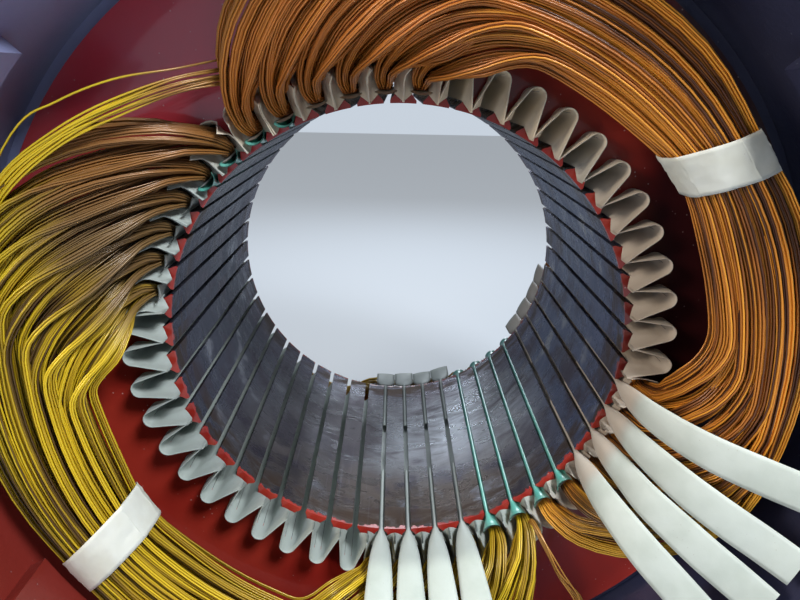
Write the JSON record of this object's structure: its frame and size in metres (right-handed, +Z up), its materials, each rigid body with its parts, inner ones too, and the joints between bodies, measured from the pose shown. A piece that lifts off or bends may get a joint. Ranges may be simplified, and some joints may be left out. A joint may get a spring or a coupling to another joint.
{
  "type": "motor stator",
  "caption": "Stator of a large two-pole motor, half wound: slotted laminated core with paper-lined slots and loose coil bundles in a finned, footed housing.",
  "frame": {"origin": "on the bore's axis, half way along the laminated core", "axes": "+Z up, +Y along the bore's axis from the near end to the far end, +X to the right seen from the near end"},
  "size_m": [0.6114, 0.462, 0.6783],
  "materials": {
    "lamination_steel": "bare laminations in the bore, glossy dark red insulating enamel on both end faces",
    "slot_paper": "matt off-white slot paper",
    "paper_tape": "matt pale paper tape",
    "cap_film": "smooth green polyester film",
    "amber_wire": "clear amber enamel on copper wire",
    "yellow_wire": "yellow enamel on copper wire",
    "housing_paint": "glossy dark navy paint on cast iron",
    "eye_steel": "forged steel, lightly worn"
  },
  "bodies": {
    "root": {"core_yoke": "lamination_steel", "core_teeth": "lamination_steel", "slot_liners_right": "slot_paper", "slot_liners_top": "slot_paper", "slot_liners_left": "slot_paper", "slot_liners_bottom": "slot_paper", "tape_near_right": "paper_tape", "tape_near_left": "paper_tape", "tape_far_right": "paper_tape", "tape_far_left": "paper_tape", "slot_caps_top": "cap_film", "slot_caps_bottom": "cap_film", "feeder_strips_near_bottom": "slot_paper", "feeder_strips_near_right": "slot_paper", "feeder_strips_far_bottom": "slot_paper", "feeder_strips_far_right": "slot_paper", "housing": "housing_paint", "foot_right": "housing_paint", "foot_left": "housing_paint", "lifting_eye_near": "eye_steel", "lifting_eye_far": "eye_steel", "coil_right_1": "amber_wire", "coil_right_2": "amber_wire", "coil_right_3": "amber_wire", "coil_right_4": "amber_wire", "coil_right_5": "amber_wire", "coil_right_6": "amber_wire", "coil_left_1": "yellow_wire", "coil_left_2": "yellow_wire", "coil_left_3": "yellow_wire", "coil_left_4": "yellow_wire", "coil_left_5": "yellow_wire", "coil_left_6": "yellow_wire"}
  },
  "joints": []
}
